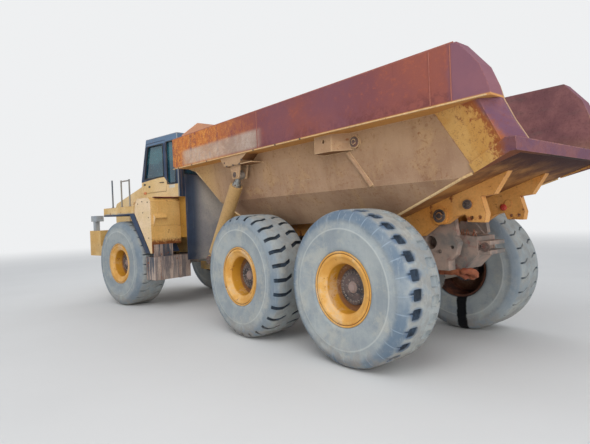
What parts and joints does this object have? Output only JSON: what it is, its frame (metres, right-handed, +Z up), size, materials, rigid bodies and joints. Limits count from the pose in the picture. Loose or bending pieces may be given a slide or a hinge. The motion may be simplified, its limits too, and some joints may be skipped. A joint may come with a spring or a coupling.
{
  "type": "articulated dump truck",
  "caption": "Articulated six-wheel dump truck with a tipping rock bed, curved guard sheets and a front unit that steers at a central hitch.",
  "frame": {"origin": "on the floor under the steering pivot", "axes": "+X forward along the rear frame, +Y to the left, +Z up"},
  "size_m": [10.0678, 3.3209, 3.54],
  "materials": {
    "old_yellow_paint": "weathered",
    "navy_paint": "weathered",
    "rusty_red_paint": "rusted",
    "dusty_tan_paint": "dusty",
    "grey_sheet": "weathered",
    "greasy_iron": "greasy",
    "tyre_rubber": "dusty",
    "black_plastic": "matte",
    "cab_glass": "tinted",
    "rod_chrome": "polished",
    "seat_cloth": "woven"
  },
  "bodies": {
    "rear_frame": {"rear_frame": "greasy_iron", "rear_axles": "greasy_iron", "walking_beams": "greasy_iron", "guards": "grey_sheet"},
    "hitch": {"hitch": "greasy_iron"},
    "front_frame": {"front_frame": "old_yellow_paint", "front_axle": "greasy_iron", "bumper": "old_yellow_paint", "head_lamps": "black_plastic", "engine": "greasy_iron", "radiator": "greasy_iron", "fenders": "old_yellow_paint", "side_box_left": "old_yellow_paint", "side_box_right": "old_yellow_paint", "tank_left": "dusty_tan_paint", "tank_right": "dusty_tan_paint", "cab_base": "old_yellow_paint", "cab_shell": "navy_paint", "cab_glass": "cab_glass", "dash": "black_plastic", "seat": "seat_cloth", "handrails": "grey_sheet"},
    "hood": {"hood": "old_yellow_paint"},
    "door": {"door": "navy_paint", "door_glass": "cab_glass"},
    "steer_barrel_left": {"steer_barrel_left": "greasy_iron"},
    "steer_rod_left": {"steer_rod_left": "rod_chrome"},
    "steer_barrel_right": {"steer_barrel_right": "greasy_iron"},
    "steer_rod_right": {"steer_rod_right": "rod_chrome"},
    "bed": {"bed_floor": "dusty_tan_paint", "bed_side_left": "dusty_tan_paint", "bed_side_right": "dusty_tan_paint", "bed_front": "rusty_red_paint", "bed_tail": "rusty_red_paint", "bed_beams": "old_yellow_paint"},
    "hoist_barrels": {"hoist_barrels": "old_yellow_paint"},
    "hoist_stage_a": {"hoist_stage_a": "rod_chrome"},
    "hoist_stage_b": {"hoist_stage_b": "rod_chrome"},
    "hoist_rods": {"hoist_rods": "rod_chrome"},
    "wheel_front_left": {"tyre_front_left": "tyre_rubber", "rim_front_left": "old_yellow_paint"},
    "wheel_front_right": {"tyre_front_right": "tyre_rubber", "rim_front_right": "old_yellow_paint"},
    "wheel_mid_left": {"tyre_mid_left": "tyre_rubber", "rim_mid_left": "old_yellow_paint"},
    "wheel_mid_right": {"tyre_mid_right": "tyre_rubber", "rim_mid_right": "old_yellow_paint"},
    "wheel_rear_left": {"tyre_rear_left": "tyre_rubber", "rim_rear_left": "old_yellow_paint"},
    "wheel_rear_right": {"tyre_rear_right": "tyre_rubber", "rim_rear_right": "old_yellow_paint"}
  },
  "joints": [
    {"name": "roll", "type": "hinge", "parent": "rear_frame", "child": "hitch", "pos_m": [-0.5, 0, 0.9], "axis": [1, 0, 0], "range_deg": [-10, 10]},
    {"name": "steer", "type": "hinge", "parent": "hitch", "child": "front_frame", "pos_m": [0, 0, 0.9], "axis": [0, 0, 1], "range_deg": [-53, 37]},
    {"name": "tip", "type": "hinge", "parent": "rear_frame", "child": "bed", "pos_m": [-5.59, 0, 1.63], "axis": [0, -1, 0], "range_deg": [0, 70]},
    {"name": "hood_open", "type": "hinge", "parent": "front_frame", "child": "hood", "pos_m": [2.951, 0.41474, 1.64], "axis": [-0.1392, 0.9903, 0], "range_deg": [0, 60]},
    {"name": "door_open", "type": "hinge", "parent": "front_frame", "child": "door", "pos_m": [0.41741, 0.96751, 2.8], "axis": [0, 0, 1], "range_deg": [0, 80]},
    {"name": "hoist_swing", "type": "hinge", "parent": "rear_frame", "child": "hoist_barrels", "pos_m": [-1.72, 0, 1.04], "axis": [0, -1, 0], "range_deg": [-1, 12]},
    {"name": "hoist_stage_a_slide", "type": "slide", "parent": "hoist_barrels", "child": "hoist_stage_a", "axis": [-0.5676, 0, 0.8233], "range_m": [-0.01, 1.174]},
    {"name": "hoist_stage_b_slide", "type": "slide", "parent": "hoist_stage_a", "child": "hoist_stage_b", "axis": [-0.5676, 0, 0.8233], "range_m": [-0.01, 1.174]},
    {"name": "hoist_rods_slide", "type": "slide", "parent": "hoist_stage_b", "child": "hoist_rods", "axis": [-0.5676, 0, 0.8233], "range_m": [-0.01, 1.174]},
    {"name": "steer_swing_left", "type": "hinge", "parent": "front_frame", "child": "steer_barrel_left", "pos_m": [0.93738, 0.51548, 0.9], "axis": [0, 0, 1], "range_deg": [-10, 12]},
    {"name": "steer_slide_left", "type": "slide", "parent": "steer_barrel_left", "child": "steer_rod_left", "axis": [-0.9911, -0.1331, 0], "range_m": [-0.2251, 0.3203]},
    {"name": "steer_swing_right", "type": "hinge", "parent": "front_frame", "child": "steer_barrel_right", "pos_m": [1.04315, -0.23713, 0.9], "axis": [0, 0, 1], "range_deg": [-10, 12]},
    {"name": "steer_slide_right", "type": "slide", "parent": "steer_barrel_right", "child": "steer_rod_right", "axis": [-0.9953, -0.0968, 0], "range_m": [-0.3385, 0.2378]},
    {"name": "roll_front_left", "type": "hinge", "parent": "front_frame", "child": "wheel_front_left", "pos_m": [1.32118, 1.37728, 0.875], "axis": [-0.1392, 0.9903, 0], "continuous": true},
    {"name": "roll_front_right", "type": "hinge", "parent": "front_frame", "child": "wheel_front_right", "pos_m": [1.64963, -0.95976, 0.875], "axis": [-0.1392, 0.9903, 0], "continuous": true},
    {"name": "roll_mid_left", "type": "hinge", "parent": "rear_frame", "child": "wheel_mid_left", "pos_m": [-2.95, 1.18, 0.875], "axis": [0, 1, 0], "continuous": true},
    {"name": "roll_mid_right", "type": "hinge", "parent": "rear_frame", "child": "wheel_mid_right", "pos_m": [-2.95, -1.18, 0.875], "axis": [0, 1, 0], "continuous": true},
    {"name": "roll_rear_left", "type": "hinge", "parent": "rear_frame", "child": "wheel_rear_left", "pos_m": [-4.97, 1.18, 0.875], "axis": [0, 1, 0], "continuous": true},
    {"name": "roll_rear_right", "type": "hinge", "parent": "rear_frame", "child": "wheel_rear_right", "pos_m": [-4.97, -1.18, 0.875], "axis": [0, 1, 0], "continuous": true}
  ],
  "couplings": [
    {"joint": "hoist_swing", "follows": "tip", "ratio": 0.13997},
    {"joint": "hoist_stage_a_slide", "follows": "tip", "m_per_rad": 0.94491},
    {"joint": "hoist_stage_b_slide", "follows": "tip", "m_per_rad": 0.94491},
    {"joint": "hoist_rods_slide", "follows": "tip", "m_per_rad": 0.94491},
    {"joint": "steer_swing_left", "follows": "steer", "ratio": -0.1706},
    {"joint": "steer_slide_left", "follows": "steer", "m_per_rad": -0.3409},
    {"joint": "steer_swing_right", "follows": "steer", "ratio": -0.1466},
    {"joint": "steer_slide_right", "follows": "steer", "m_per_rad": 0.3605}
  ]
}
